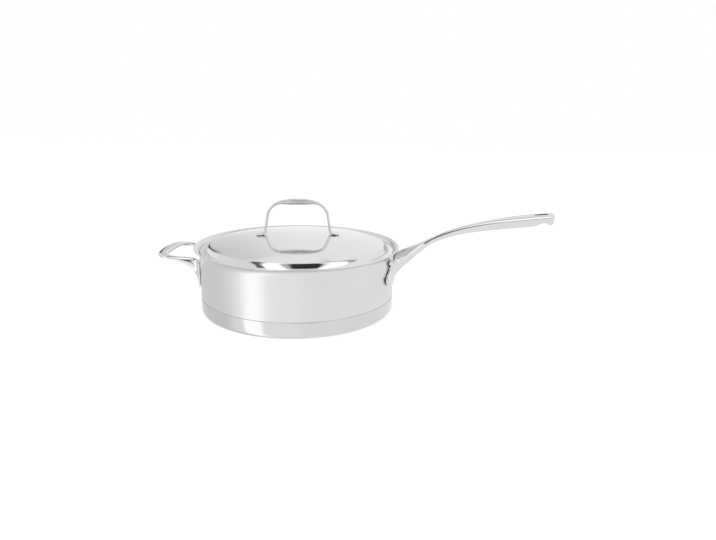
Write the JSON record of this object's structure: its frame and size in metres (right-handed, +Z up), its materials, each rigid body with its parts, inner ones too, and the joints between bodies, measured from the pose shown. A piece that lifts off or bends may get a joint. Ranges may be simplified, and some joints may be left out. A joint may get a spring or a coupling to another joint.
{
  "type": "saute pan with lid",
  "caption": "Straight-sided stainless steel saute pan on a sealed sandwich base, with a forked long handle, a loop helper handle and a domed lid with a bow handle.",
  "frame": {"origin": "centre of the flat underside of the base", "axes": "+X along the long handle, away from the pan; +Z up, along the axis of the pan and the lid; +Y to the left of a cook who holds the long handle and faces the pan"},
  "size_m": [0.572, 0.2984, 0.1616],
  "materials": {
    "pan_steel": "satin polished, with fine rings round the axis",
    "base_steel": "satin polished",
    "lid_steel": "satin polished, with fine rings round the axis",
    "handle_steel": "polished casting",
    "copper": "bare, sealed inside the base",
    "braze": "bare, sealed inside the base"
  },
  "bodies": {
    "pan": {"pan_body": "pan_steel", "base_cup": "base_steel", "braze_foil_lower": "braze", "base_core": "copper", "braze_foil_upper": "braze", "long_handle": "handle_steel", "helper_handle": "handle_steel"},
    "lid": {"lid_shell": "lid_steel", "lid_handle": "handle_steel"}
  },
  "joints": [
    {"name": "lid_lift", "type": "slide", "parent": "pan", "child": "lid", "axis": [0, 0, 1], "range_m": [0, 0.15]}
  ]
}
